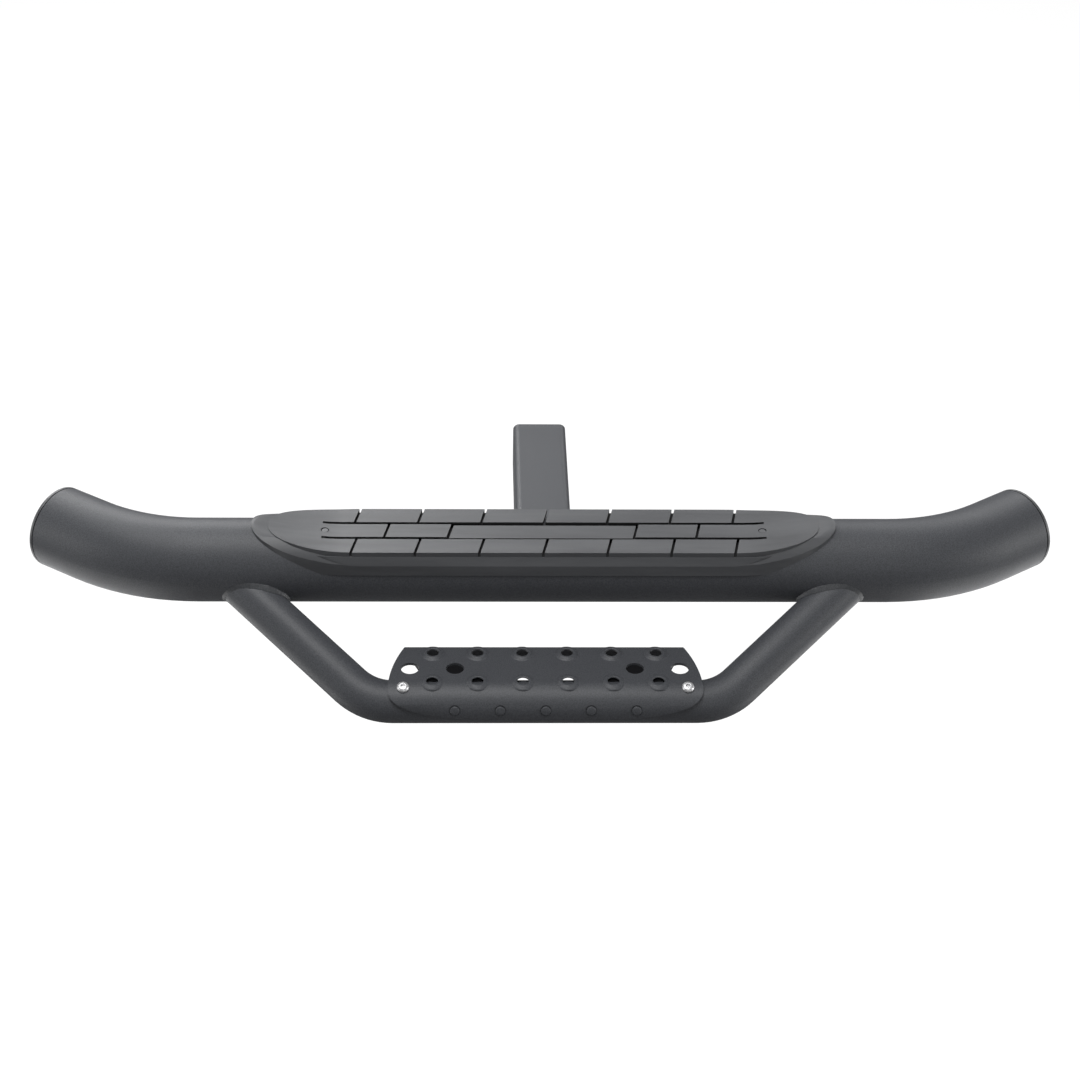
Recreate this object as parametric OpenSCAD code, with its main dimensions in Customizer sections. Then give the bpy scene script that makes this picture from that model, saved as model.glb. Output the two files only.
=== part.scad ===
// Hitch receiver step: a bent round step tube on a square shank, with a rubber tread
// pressed into its flattened top, and a smaller U-shaped tube below that carries a
// punched step plate. Millimetres. +X is to the right, +Y towards the vehicle, +Z up.
// The origin is the middle of the hitch pin hole.

/* [Shank] */
// Width and height of the square shank
shank_w = 50.8; // [44:0.1:56]
// Wall of the shank
shank_wall = 5; // [3:0.1:7]
// Outer corner radius of the shank
shank_corner = 6; // [3:0.1:9]
// From the step tube's axis to the open end of the shank
shank_reach = 197; // [170:1:300]
// From the pin hole to the open end of the shank
pin_to_end = 63.5; // [40:0.5:80]
// Diameter of the hitch pin hole
pin_hole_d = 16.5; // [13:0.1:20]
// Leg of the weld round the shank
shank_weld_leg = 3; // [2:0.1:3.4]
// Inner corner radius of the shank
bore_corner = 1.5; // [0.5:0.1:3]

/* [Step tube] */
// Outer diameter of the step tube
main_d = 76.2; // [72:0.1:90]
// Wall of the step tube
main_wall = 2.3; // [1.6:0.1:4]
// Half of the straight middle of the step tube
main_half = 313; // [300:1:400]
// Centreline radius of its bends
main_bend_r = 178; // [120:1:260]
// Angle of its bends
main_bend_angle = 34; // [10:1:50]
// Straight length past each bend
main_end = 38.5; // [26:0.5:90]
// Depth of the pressed flat under the tread
flat_depth = 11; // [9:0.1:12]
// From the tips of the tread in to the end of the flat's level part
flat_inset = 58; // [40:1:70]
// Length of the slope that ends the flat
flat_ramp = 53; // [30:1:64]

/* [End caps] */
// Thickness of the cap's face
cap_face = 3.5; // [2:0.1:6]
// How far the plug reaches into the tube
cap_plug = 20; // [12:0.5:24]
// Wall of the plug
cap_wall = 2.5; // [1.5:0.1:4]
// Gap between the plug and the tube
cap_gap = 0.2; // [0.1:0.05:0.6]
// Width of the rounded rim of the face
cap_rim = 1.2; // [0.5:0.1:1.8]

/* [Drop tube] */
// Outer diameter of the drop tube
drop_d = 38.1; // [34:0.1:42]
// Wall of the drop tube
drop_wall = 2; // [1.6:0.1:3.5]
// From the step tube's axis to the lower run's axis
drop_reach = 136; // [125:0.5:160]
// Lean of the drop tube, out from straight down
drop_tilt = 57; // [40:1:60]
// Half of the straight lower run
drop_half = 135; // [128:1:150]
// Centreline radius of its bends
drop_bend_r = 55; // [48:1:80]
// From the start of the step tube's bends in to the feet of the drop tube
foot_inset = 12.7; // [6:0.1:40]
// Leg of the welds round its ends
leg_weld = 4.5; // [3:0.1:6]

/* [Step plate] */
// Thickness of the sheet
sheet = 2.5; // [2:0.1:3.5]
// How far the plate reaches past each end of the straight lower run
plate_over = 4; // [0:0.5:6]
// Depth of the flat tread, from the lower run's crest to the folded rear edge
plate_depth = 53; // [50:0.5:57]
// How much larger than the plate's half width the radius of its bowed sides is
side_r_extra = 7; // [5:1:80]
// Drop of the folded rear edge
rear_fold = 12; // [8:0.5:16]
// How far the front is rolled round the lower run, in degrees from its crest
roll_angle = 100; // [92:1:115]
// Half of the straight front edge of the roll
roll_edge_half = 39; // [20:1:90]
// Gap between the sheet and the drop tube
sheet_gap = 0.6; // [0.4:0.1:1]
// From the ends of the straight lower run in to the outermost grip holes
grip_inset = 35; // [33:0.5:45]
// Diameter of a grip hole
grip_hole_d = 10; // [6:0.1:11]
// Diameter at the foot of a raised rim
grip_foot_d = 19; // [15:0.5:20]
// Height of a raised rim
grip_rise = 2.4; // [1.5:0.1:3]
// From the lower run's crest back to the front row of grip holes
grip_row_front = -1; // [-2:0.5:3]
// From the lower run's crest back to the rear row
grip_row_rear = 41; // [38:0.5:42]
// From the lower run's crest back to the plain holes
drain_row = 19.5; // [18:0.5:22]
// Diameter of the plain holes
drain_hole_d = 16; // [10:0.5:18]
// Diameter of the pips on the rolled front
pip_d = 8.4; // [5:0.1:11]
// Height of the pips
pip_rise = 1.2; // [0.6:0.1:2]
// Place of the pips round the roll, in degrees from the crest
pip_angle = 73; // [60:1:80]

/* [Plate brackets] */
// Width of a bracket at the tube
bracket_w = 50; // [30:1:56]
// Depth of a bracket, from the lower run's crest
bracket_depth = 40; // [30:1:44]
// How far each side of a bracket flares out
bracket_flare = 15; // [0:1:18]
// Thickness of its steel
bracket_t = 3; // [2:0.1:4]
// Leg of the weld under a bracket
bracket_weld_leg = 3.5; // [2:0.1:5]

/* [Screws] */
// From the ends of the straight lower run in to each screw
screw_inset = 9.5; // [7:0.5:13]
// Lean of the screws, forward from straight up
screw_lean = 18; // [0:1:20]
// Thread diameter
screw_d = 6; // [5:0.5:6.5]
// Length under the head
screw_length = 16; // [12:1:20]
// Head diameter
screw_head_d = 11.2; // [9:0.1:12]
// Head height
screw_head_h = 3.3; // [2.5:0.1:4]
// Width across the flats of the hex socket
screw_socket = 4; // [3:0.5:4.5]

/* [Tread] */
// Half length of the tread's rim
pad_half = 263; // [258:1:264]
// Half width of the rim
pad_flange_w = 38.8; // [38.3:0.1:39.6]
// From the tips of the tread in to the tips of the raised blocks
tip_inset = 15; // [11:1:23]
// Half width of the raised blocks
block_w = 35.5; // [30:0.5:36.5]
// Length of each rounded end of the tread
pad_taper = 105; // [83:1:133]
// Fullness of the rounded ends, where 2 is an ellipse
end_fullness = 2.4; // [2:0.1:3]
// Rubber between the flat and the top of the blocks
pad_rise = 5.6; // [4.8:0.1:8]
// Thickness of the rim at the tips of the tread
rim_t = 2.2; // [1.5:0.1:3]
// How far the tips of the blocks stand over the rim there
tip_rise = 0.9; // [0.5:0.1:1.5]
// Height of the rim's lower edge over the step tube's axis
skirt_z = 9.5; // [8:0.5:14]
// Height of the crease along the long sides
crease_z = 19.5; // [16:0.5:22]
// Drop from the top of the blocks to the shoulder beside them
shoulder_drop = 4.4; // [3:0.1:5]
// Pitch of the block joints
block_pitch = 57.15; // [50:0.5:60]
// Width of the grooves and joints
groove_w = 1.8; // [1:0.1:3]
// Depth of the grooves
groove_depth = 2.7; // [1.5:0.1:2.9]
// Depth of the bare field in the middle row
field_depth = 1.5; // [1:0.1:2.5]
// From the middle to each long groove
groove_y = 12; // [10:0.5:13]
// From the tips of the tread in to the ends of the long grooves
groove_inset = 63; // [53:1:73]
// Lean of the joints
joint_lean = 11.3; // [0:0.1:20]
// From the tips of the tread in to each tread pin
pin_inset = 65.5; // [58:0.5:73]
// Diameter of the tread pins
pad_pin_d = 4; // [3:0.1:5]

/* [Hidden] */
$fn = 96;
eps = 0.01;
// How far a cutting shape runs past what it cuts
past = 5;
// A bend is thinner than the straight lengths by this much on its radius
bend_thinning = 0.02;
// How far a straight length laps into the bend beside it
bend_lap = 0.4;

main_r = main_d / 2;
drop_r = drop_d / 2;
// From the step tube's axis to the pin hole, which is the origin
tube_to_pin = shank_reach - pin_to_end;
// Height of the pressed flat over the step tube's axis
flat_z = main_r - flat_depth;
flat_half = pad_half - flat_inset;
block_half = pad_half - tip_inset;
pad_straight = pad_half - pad_taper;
groove_half = pad_half - groove_inset;
pad_pin_x = pad_half - pin_inset;
// The slope is drawn twice its length, so it ends above the tube
ramp_end = flat_half + 2 * flat_ramp;
pad_top = flat_z + pad_rise;
// The leg is the tangent from its foot to the circle of the bend
foot_x = main_half - foot_inset;
foot_out = foot_x - drop_half;
foot_up = drop_reach - drop_bend_r;
leg_length = sqrt(pow(foot_out, 2) + pow(foot_up, 2) - pow(drop_bend_r, 2));
drop_bend_angle = atan2(foot_up, foot_out) + atan2(drop_bend_r, leg_length);
run_y = -drop_reach * sin(drop_tilt);
run_z = -drop_reach * cos(drop_tilt);
plate_half = drop_half + plate_over;
plate_side_r = plate_half + side_r_extra;
screw_x = drop_half - screw_inset;
// Six grip holes a row, with a bracket under the second gap from each end
grip_pitch = (drop_half - grip_inset) / 2.5;
bracket_x = 2 * grip_pitch;
// Radii of the sheet where it rolls round the lower run
roll_in = drop_r + sheet_gap;
roll_out = roll_in + sheet;
// A fillet under a fold of the sheet
fold_r = 3;
// A bracket starts this far behind the lower run's crest, where its cope is thick enough
bracket_start = 5;
// The quarter ellipses start this far round the roll, in degrees from its crest
corner_angle = 15;
// Width of the land round a raised grip hole
grip_land = 1.5;
// Centre of the circles that bow the plate's sides, in front of the crest
bow_y = -10;
thread_gap = 0.05;
hole_gap = 0.3;
nut_body_d = screw_d + 3.2;
nut_flange_d = screw_d + 7;
nut_length = 13;
nut_bulge = 3;
nut_bulge_h = 4;
pin_head_d = pad_pin_d + 2;
pin_head_t = 1;
pin_sink = 0.4;
// The barb under the flat: how much narrower and wider than the pin it is, its height and gap
barb_step = 1.5;
barb_h = 3.5;
barb_gap = 0.1;
notch_gap = 0.4;
// The shoulder stands out past the blocks by this much, and ends this far short of their tips
shoulder_step = 0.4;
shoulder_inset = 14;

module steel_color() {
    color([0.16, 0.16, 0.17]) children();
}

module weld_color() {
    color([0.2, 0.2, 0.21]) children();
}

module rubber_color() {
    color([0.1, 0.1, 0.1]) children();
}

module bright_color() {
    color([0.75, 0.75, 0.77]) children();
}

// Places a shape that is drawn about the step tube's axis
module at_tube() {
    translate([0, -tube_to_pin, 0]) children();
}

// Places a shape that is drawn about the lower run's axis
module at_run() {
    at_tube() translate([0, run_y, run_z]) children();
}

// The plane of the drop tube: its own y runs up to the step tube's axis
module drop_plane() {
    at_tube() rotate([90 - drop_tilt, 0, 0]) children();
}

module on_side(side) {
    mirror([side < 0 ? 1 : 0, 0, 0]) children();
}

// A rod along +X
module along_x(length, radius) {
    rotate([0, 90, 0]) cylinder(h = length, r = radius);
}

// A bend that starts along +X at the origin and turns towards +Y
module rod_bend(angle, bend_r, radius) {
    translate([0, bend_r, 0]) rotate([0, 0, -90]) rotate_extrude(angle = angle) {
        translate([bend_r, 0]) circle(r = radius - bend_thinning);
    }
}

// The straight length that follows a bend
module rod_end(angle, bend_r, length, radius) {
    past_bend(angle, bend_r) translate([-bend_lap, 0, 0]) along_x(length + bend_lap, radius);
}

// The straight middle of a bent rod
module rod_middle(half, radius) {
    translate([-half - bend_lap, 0, 0]) along_x(2 * (half + bend_lap), radius);
}

// Moves a shape from the start of a bend to its end
module past_bend(angle, bend_r) {
    translate([0, bend_r, 0]) rotate([0, 0, angle]) translate([0, -bend_r, 0]) children();
}

// All that lies over a line along the step tube: level, then sloped from end_x to far_x
module over_line(level_z, end_x, far_x, far_z) {
    for (side = [-1, 1]) on_side(side) {
        rotate([90, 0, 0]) translate([0, 0, -main_d]) linear_extrude(2 * main_d) {
            polygon([
                [0, level_z],
                [end_x, level_z],
                [far_x, far_z],
                [far_x, 2 * main_d],
                [0, 2 * main_d]]);
        }
    }
}

// All that lies over the pressed flat, lowered by some amount
module over_flat(lower) {
    over_line(flat_z - lower, flat_half, ramp_end, flat_z - lower + 2 * flat_depth);
}

// The step tube's shape at a radius, with its flat lowered and its ends lengthened
module main_rod(radius, lower, longer) {
    difference() {
        rod_middle(main_half, radius);
        over_flat(lower);
    }
    for (side = [-1, 1]) on_side(side) translate([main_half, 0, 0]) {
        rod_bend(main_bend_angle, main_bend_r, radius);
        rod_end(main_bend_angle, main_bend_r, main_end + longer, radius);
    }
}

module main_tube() {
    steel_color() at_tube() difference() {
        main_rod(main_r, 0, 0);
        main_rod(main_r - main_wall, main_wall, past);
        for (side = [-1, 1]) {
            translate([side * pad_pin_x, 0, 0]) cylinder(h = main_d, d = pad_pin_d + hole_gap);
        }
    }
}

// A moulded plug with a face that is flush with the tube's outside
module end_cap(side) {
    plug_r = main_r - main_wall - cap_gap;
    rubber_color() at_tube() on_side(side) translate([main_half, 0, 0]) {
        past_bend(main_bend_angle, main_bend_r) translate([main_end, 0, 0]) rotate([0, 90, 0]) {
            rotate_extrude() polygon([
                [0, 0],
                [plug_r - cap_wall, 0],
                [plug_r - cap_wall, -cap_plug],
                [plug_r, -cap_plug],
                [plug_r, 0],
                [main_r, 0],
                [main_r, cap_face - cap_rim],
                [main_r - cap_rim, cap_face],
                [0, cap_face]]);
        }
    }
}

module left_end_cap() {
    end_cap(-1);
}

module right_end_cap() {
    end_cap(1);
}

module rounded_square(width, corner) {
    square([width, width - 2 * corner], center = true);
    square([width - 2 * corner, width], center = true);
    for (x = [-1, 1], y = [-1, 1]) {
        translate([x, y] * (width / 2 - corner)) circle(r = corner);
    }
}

// A square bar along +Y, from the step tube's axis
module square_bar(length, width, corner) {
    rotate([-90, 0, 0]) linear_extrude(length) rounded_square(width, corner);
}

// The step tube as a plain rod, to cope what is welded to it
module main_core(extra = 0) {
    core_half = foot_x + 2 * drop_d;
    translate([-core_half, 0, 0]) along_x(2 * core_half, main_r + extra);
}

module shank() {
    bore_w = shank_w - 2 * shank_wall;
    steel_color() difference() {
        at_tube() difference() {
            square_bar(shank_reach, shank_w, shank_corner);
            square_bar(shank_reach + past, bore_w, bore_corner);
            main_core();
        }
        translate([-shank_w, 0, 0]) rotate([0, 90, 0]) cylinder(h = 2 * shank_w, d = pin_hole_d);
    }
}

// The bead has two steps, wide and low, then narrow and high
module shank_weld() {
    bead_reach = main_r + shank_weld_leg + past;
    weld_color() at_tube() difference() {
        for (step = [0.5, 1]) {
            intersection() {
                main_core(shank_weld_leg * step);
                square_bar(bead_reach, shank_w + 2 * shank_weld_leg * (1.5 - step), shank_corner);
            }
        }
        main_core();
        translate([0, -past, 0]) square_bar(bead_reach + 2 * past, shank_w, shank_corner);
    }
}

module drop_leg(radius) {
    translate([drop_half, -drop_reach, 0]) {
        rod_end(drop_bend_angle, drop_bend_r, leg_length, radius);
    }
}

// The drop tube's shape at a radius
module drop_rod(radius) {
    translate([0, -drop_reach, 0]) rod_middle(drop_half, radius);
    for (side = [-1, 1]) on_side(side) {
        translate([drop_half, -drop_reach, 0]) rod_bend(drop_bend_angle, drop_bend_r, radius);
        drop_leg(radius);
    }
}

module screw_axis(side) {
    translate([side * screw_x, 0, 0]) rotate([screw_lean, 0, 0]) children();
}

module drop_tube() {
    steel_color() difference() {
        drop_plane() difference() {
            drop_rod(drop_r);
            drop_rod(drop_r - drop_wall);
        }
        at_tube() main_core();
        at_run() for (side = [-1, 1]) {
            screw_axis(side) cylinder(h = drop_d, d = nut_body_d + hole_gap);
        }
    }
}

module leg_weld_bead(side) {
    weld_color() on_side(side) difference() {
        for (step = [0.5, 1]) {
            intersection() {
                at_tube() main_core(leg_weld * step);
                drop_plane() drop_leg(drop_r + leg_weld * (1.5 - step));
            }
        }
        at_tube() main_core();
        drop_plane() drop_leg(drop_r);
    }
}

module left_leg_weld() {
    leg_weld_bead(-1);
}

module right_leg_weld() {
    leg_weld_bead(1);
}

// The bent section of the plate about the lower run's axis, drawn with y to the left of z
module plate_section() {
    rear = plate_depth;
    // flat tread, from the crest to the rear fold
    translate([0, roll_in]) square([rear - fold_r, sheet]);
    // rear fold and its drop
    translate([rear - fold_r, roll_out - fold_r]) difference() {
        intersection() {
            circle(r = fold_r);
            square(fold_r);
        }
        circle(r = fold_r - sheet + eps);
    }
    translate([rear - sheet, roll_out - rear_fold]) square([sheet, rear_fold - fold_r]);
    // the front, rolled round the tube
    intersection() {
        difference() {
            circle(r = roll_out);
            circle(r = roll_in);
        }
        polygon([[0, 0], [0, 2 * roll_out],
            [-3 * roll_out, 2 * roll_out],
            [-3 * roll_out, 3 * roll_out / tan(roll_angle)]]);
    }
}

// Seen from above: two bowed sides
module plate_plan() {
    intersection() {
        translate([plate_half - plate_side_r, bow_y]) circle(r = plate_side_r, $fn = 180);
        translate([plate_side_r - plate_half, bow_y]) circle(r = plate_side_r, $fn = 180);
    }
}

// Seen from the front: the roll's lower corners are quarter ellipses
function roll_corner(side, count = 10) = [for (i = [0:count])
    let (turn = 90 * i / count, a = side > 0 ? turn : 90 - turn)
    [side * (roll_edge_half + (plate_half + eps - roll_edge_half) * sin(a)),
        roll_corner_top - (roll_corner_top - roll_bottom) * cos(a)]];
roll_bottom = roll_out * cos(roll_angle);
roll_corner_top = roll_out * cos(corner_angle);

module plate_front() {
    top = [[plate_half + eps, 2 * roll_out], [-plate_half - eps, 2 * roll_out]];
    polygon(concat(roll_corner(1), top, roll_corner(-1)));
}

module plate_sheet() {
    intersection() {
        translate([-plate_half, 0, 0]) rotate([90, 0, 90]) {
            linear_extrude(2 * plate_half) plate_section();
        }
        translate([0, 0, -3 * roll_out]) linear_extrude(6 * roll_out) plate_plan();
        translate([0, plate_depth + past, 0]) rotate([90, 0, 0]) {
            linear_extrude(plate_depth + 3 * roll_out) plate_front();
        }
    }
}

module grip_places() {
    for (column = [-2.5:1:2.5], row = [grip_row_front, grip_row_rear]) {
        translate([column * grip_pitch, row, roll_out]) children();
    }
}

module step_plate() {
    rim_top_d = grip_hole_d + 2 * grip_land;
    steel_color() at_run() difference() {
        union() {
            plate_sheet();
            grip_places() translate([0, 0, -eps]) {
                cylinder(h = grip_rise + eps, d1 = grip_foot_d, d2 = rim_top_d);
            }
            for (column = [-2:2]) {
                translate([column * grip_pitch, 0, 0]) rotate([pip_angle, 0, 0]) {
                    translate([0, 0, roll_in + sheet / 2]) {
                        cylinder(h = sheet / 2 + pip_rise, d = pip_d);
                    }
                }
            }
        }
        grip_places() translate([0, 0, -sheet - past]) {
            cylinder(h = sheet + grip_rise + 2 * past, d = grip_hole_d);
        }
        // the rims are pressed, so they are hollow underneath
        grip_places() translate([0, 0, -sheet - eps]) {
            cylinder(h = grip_rise, d1 = grip_foot_d - grip_land, d2 = grip_hole_d);
        }
        for (side = [-1, 1], column = [2, 3]) {
            translate([side * column * grip_pitch, drain_row, roll_in - past]) {
                cylinder(h = 2 * past, d = drain_hole_d);
            }
        }
        for (side = [-1, 1]) {
            screw_axis(side) cylinder(h = 2 * roll_out, d = screw_d + hole_gap * 2);
        }
    }
}

// A flat tab under the plate, coped to the lower run
module plate_bracket(side) {
    steel_color() at_run() difference() {
        translate([side * bracket_x, 0, roll_in - bracket_t]) linear_extrude(bracket_t) polygon([
            [-bracket_w / 2, bracket_start],
            [bracket_w / 2, bracket_start],
            [bracket_w / 2 + bracket_flare, bracket_depth],
            [-bracket_w / 2 - bracket_flare, bracket_depth]]);
        rod_middle(drop_half, drop_r);
    }
}

module left_plate_bracket() {
    plate_bracket(-1);
}

module right_plate_bracket() {
    plate_bracket(1);
}

// A bead along the line where a bracket's underside meets the lower run
module bracket_weld(side) {
    under = roll_in - bracket_t;
    touch = sqrt(pow(drop_r, 2) - pow(under, 2));
    weld_color() at_run() difference() {
        translate([side * bracket_x - bracket_w / 2, 0, 0]) rotate([90, 0, 90]) {
            linear_extrude(bracket_w) polygon([
                [touch - bracket_weld_leg / 2, under],
                [touch + bracket_weld_leg, under],
                [touch + bracket_weld_leg, under - bracket_weld_leg / 2],
                [touch + bracket_weld_leg / 2, under - bracket_weld_leg],
                [touch - bracket_weld_leg / 2, under - bracket_weld_leg]]);
        }
        rod_middle(drop_half, drop_r);
    }
}

module left_bracket_weld() {
    bracket_weld(-1);
}

module right_bracket_weld() {
    bracket_weld(1);
}

// A button-head screw with a hex socket, seated on the rolled sheet
module plate_screw(side) {
    // the head as shares of its size: height of the lower band, its top and the flat crown
    band_h = screw_head_h * 0.4;
    band_d = screw_head_d * 0.95;
    crown_d = screw_head_d * 0.55;
    socket_floor = screw_head_h * 0.3;
    bright_color() at_run() screw_axis(side) translate([0, 0, roll_out]) difference() {
        union() {
            cylinder(h = band_h, d1 = screw_head_d, d2 = band_d);
            translate([0, 0, band_h]) cylinder(h = screw_head_h - band_h, d1 = band_d, d2 = crown_d);
            translate([0, 0, -screw_length]) cylinder(h = screw_length + eps, d = screw_d);
        }
        translate([0, 0, socket_floor]) {
            cylinder(h = screw_head_h, d = screw_socket / cos(30), $fn = 6);
        }
    }
}

module left_plate_screw() {
    plate_screw(-1);
}

module right_plate_screw() {
    plate_screw(1);
}

// A blind rivet nut: a thin flange outside the tube, a body through its wall, a bulge inside
module rivet_nut(side) {
    bulge_z = drop_r - drop_wall;
    bright_color() at_run() difference() {
        union() {
            intersection() {
                screw_axis(side) cylinder(h = drop_d, d = nut_flange_d);
                difference() {
                    rod_middle(drop_half, roll_in);
                    rod_middle(drop_half + past, drop_r);
                }
            }
            intersection() {
                screw_axis(side) translate([0, 0, roll_in - nut_length]) {
                    cylinder(h = nut_length, d = nut_body_d);
                }
                rod_middle(drop_half, roll_in - sheet_gap / 2);
            }
            intersection() {
                screw_axis(side) translate([0, 0, bulge_z - nut_bulge_h]) {
                    cylinder(h = nut_bulge_h + drop_wall, d = nut_body_d + nut_bulge);
                }
                rod_middle(drop_half, bulge_z);
            }
        }
        screw_axis(side) cylinder(h = drop_d, d = screw_d + 2 * thread_gap);
    }
}

module left_rivet_nut() {
    rivet_nut(-1);
}

module right_rivet_nut() {
    rivet_nut(1);
}

// An outline with straight sides and rounded ends
function oval_end(side, half_length, half_width, count = 24) = [for (i = [0:count])
    let (a = -90 + 180 * i / count, power = 2 / end_fullness)
    [side * (pad_straight + (half_length - pad_straight) * pow(max(0, cos(a)), power)),
        side * half_width * sign(a) * pow(abs(sin(a)), power)]];

module oval(half_length, half_width) {
    polygon(concat(oval_end(1, half_length, half_width), oval_end(-1, half_length, half_width)));
}

module oval_column(half_length, half_width) {
    linear_extrude(main_d) oval(half_length, half_width);
}

// A round bound along the step tube that narrows from the ends of the level flat to half_length
module narrowing_rod(radius, tip_radius, half_length) {
    translate([-flat_half - eps, 0, 0]) along_x(2 * (flat_half + eps), radius);
    for (side = [-1, 1]) on_side(side) translate([flat_half, 0, 0]) rotate([0, 90, 0]) {
        cylinder(h = half_length - flat_half, r1 = radius, r2 = tip_radius);
    }
}

// The raised blocks, which rise and narrow towards their tips
module tread_blocks() {
    edge_r = sqrt(pow(block_w, 2) + pow(pad_top, 2)) + tip_rise;
    tip_r = main_r + rim_t + tip_rise;
    difference() {
        intersection() {
            oval_column(block_half, block_w);
            narrowing_rod(edge_r, tip_r, block_half + eps);
        }
        over_line(pad_top, flat_half, block_half + eps, main_r + tip_rise);
    }
}

// The sloping shoulder under the long sides of the blocks
module tread_shoulder() {
    foot_z = pad_top - shoulder_drop;
    foot_y = block_w + shoulder_step;
    intersection() {
        oval_column(block_half - shoulder_inset, pad_flange_w);
        rotate([90, 0, 90]) translate([0, 0, -pad_half]) linear_extrude(2 * pad_half) polygon([
            [-pad_flange_w, skirt_z],
            [-pad_flange_w, crease_z],
            [-foot_y, foot_z],
            [foot_y, foot_z],
            [pad_flange_w, crease_z],
            [pad_flange_w, skirt_z]]);
    }
}

// The rim, which wraps the step tube all round the blocks
module tread_rim() {
    crease_r = sqrt(pow(pad_flange_w, 2) + pow(crease_z, 2));
    difference() {
        intersection() {
            oval_column(pad_half, pad_flange_w);
            narrowing_rod(crease_r, main_r + rim_t, pad_half + eps);
            translate([-pad_half, -main_d, skirt_z]) cube([2 * pad_half, 2 * main_d, main_d]);
        }
        over_flat(-rim_t);
    }
}

module tread_grooves() {
    floor_z = pad_top - groove_depth;
    for (side = [-1, 1]) {
        translate([-groove_half, side * groove_y - groove_w / 2, floor_z]) {
            cube([2 * groove_half, groove_w, past]);
        }
    }
    // joints of the outer rows, then of the middle row
    for (side = [-1, 1], column = [-3:3]) {
        translate([column * block_pitch, side * groove_y, floor_z]) mirror([0, side < 0 ? 1 : 0, 0]) {
            rotate([0, 0, -side * joint_lean]) translate([-groove_w / 2, 0, 0]) {
                cube([groove_w, block_w, past]);
            }
        }
    }
    for (side = [-1, 1], column = [1.5, 2.5]) {
        translate([side * column * block_pitch, 0, floor_z]) rotate([0, 0, -joint_lean]) {
            translate([-groove_w / 2, -groove_y, 0]) cube([groove_w, 2 * groove_y, past]);
        }
    }
    // the bare field between the middle row's two inner joints
    field_half = 1.5 * block_pitch;
    lean_shift = groove_y * tan(joint_lean);
    translate([0, 0, pad_top - field_depth]) linear_extrude(past) polygon([
        [-field_half - lean_shift, -groove_y],
        [field_half - lean_shift, -groove_y],
        [field_half + lean_shift, groove_y],
        [-field_half + lean_shift, groove_y]]);
}

module tread_pad() {
    notch_w = shank_w + 2 * (shank_weld_leg + notch_gap);
    rubber_color() at_tube() difference() {
        union() {
            tread_rim();
            tread_shoulder();
            tread_blocks();
        }
        difference() {
            main_core();
            over_flat(0);
        }
        tread_grooves();
        // room for the shank and its weld
        translate([-notch_w / 2, 0, 0]) cube([notch_w, main_d, notch_w / 2]);
        for (side = [-1, 1]) translate([side * pad_pin_x, 0, 0]) {
            cylinder(h = main_d, d = pad_pin_d + hole_gap);
            translate([0, 0, pad_top - pin_sink - pin_head_t]) {
                cylinder(h = past, d = pin_head_d + hole_gap);
            }
        }
    }
}

// A push-in pin: a flat head in the tread, a stem through the flat and a barb under it
module pad_pin(side) {
    head_z = pad_top - pin_sink - pin_head_t;
    barb_z = flat_z - main_wall - barb_gap - barb_h;
    rubber_color() at_tube() translate([side * pad_pin_x, 0, 0]) {
        translate([0, 0, head_z]) cylinder(h = pin_head_t, d = pin_head_d);
        translate([0, 0, barb_z]) cylinder(h = head_z - barb_z + eps, d = pad_pin_d);
        translate([0, 0, barb_z]) {
            cylinder(h = barb_h, d1 = pad_pin_d - barb_step, d2 = pad_pin_d + barb_step);
        }
    }
}

module left_pad_pin() {
    pad_pin(-1);
}

module right_pad_pin() {
    pad_pin(1);
}

main_tube();
left_end_cap();
right_end_cap();
shank();
shank_weld();
drop_tube();
left_leg_weld();
right_leg_weld();
step_plate();
left_plate_bracket();
right_plate_bracket();
left_bracket_weld();
right_bracket_weld();
left_plate_screw();
right_plate_screw();
left_rivet_nut();
right_rivet_nut();
tread_pad();
left_pad_pin();
right_pad_pin();
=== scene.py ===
import math
import bmesh
import bpy
from mathutils import Matrix, Vector


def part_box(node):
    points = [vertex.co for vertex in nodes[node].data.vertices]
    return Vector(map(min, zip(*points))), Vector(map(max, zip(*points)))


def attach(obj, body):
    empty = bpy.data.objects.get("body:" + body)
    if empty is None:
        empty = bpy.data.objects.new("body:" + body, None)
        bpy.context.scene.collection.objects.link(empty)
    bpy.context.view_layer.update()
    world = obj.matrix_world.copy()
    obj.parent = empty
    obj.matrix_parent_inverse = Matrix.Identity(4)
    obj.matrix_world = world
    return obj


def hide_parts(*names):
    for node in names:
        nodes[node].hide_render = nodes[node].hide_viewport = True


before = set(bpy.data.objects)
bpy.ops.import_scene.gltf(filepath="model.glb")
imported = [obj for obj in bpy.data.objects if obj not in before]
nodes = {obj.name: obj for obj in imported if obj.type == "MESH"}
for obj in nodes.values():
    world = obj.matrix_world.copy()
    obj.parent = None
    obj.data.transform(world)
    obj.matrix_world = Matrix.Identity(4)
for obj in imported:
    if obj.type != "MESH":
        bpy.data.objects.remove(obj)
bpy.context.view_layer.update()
mm = 0.001
print("frame loaded:", len(nodes), "nodes")

# the step tube's axis runs along x at tubeY, the lower run's at runY, runZ
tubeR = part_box("main_tube")[1].z
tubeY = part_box("main_tube")[0].y + tubeR
dropR = 19.05 * mm
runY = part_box("drop_tube")[0].y + dropR
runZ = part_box("drop_tube")[0].z + dropR


# hands: short steps that the pieces share

def deselect():
    if bpy.context.mode != "OBJECT":
        bpy.ops.object.mode_set(mode="OBJECT")
    bpy.ops.object.select_all(action="DESELECT")


def take(piece):
    deselect()
    piece.select_set(True)
    bpy.context.view_layer.objects.active = piece


def edit(piece):
    take(piece)
    bpy.ops.object.mode_set(mode="EDIT")
    bpy.ops.mesh.select_all(action="SELECT")


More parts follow.
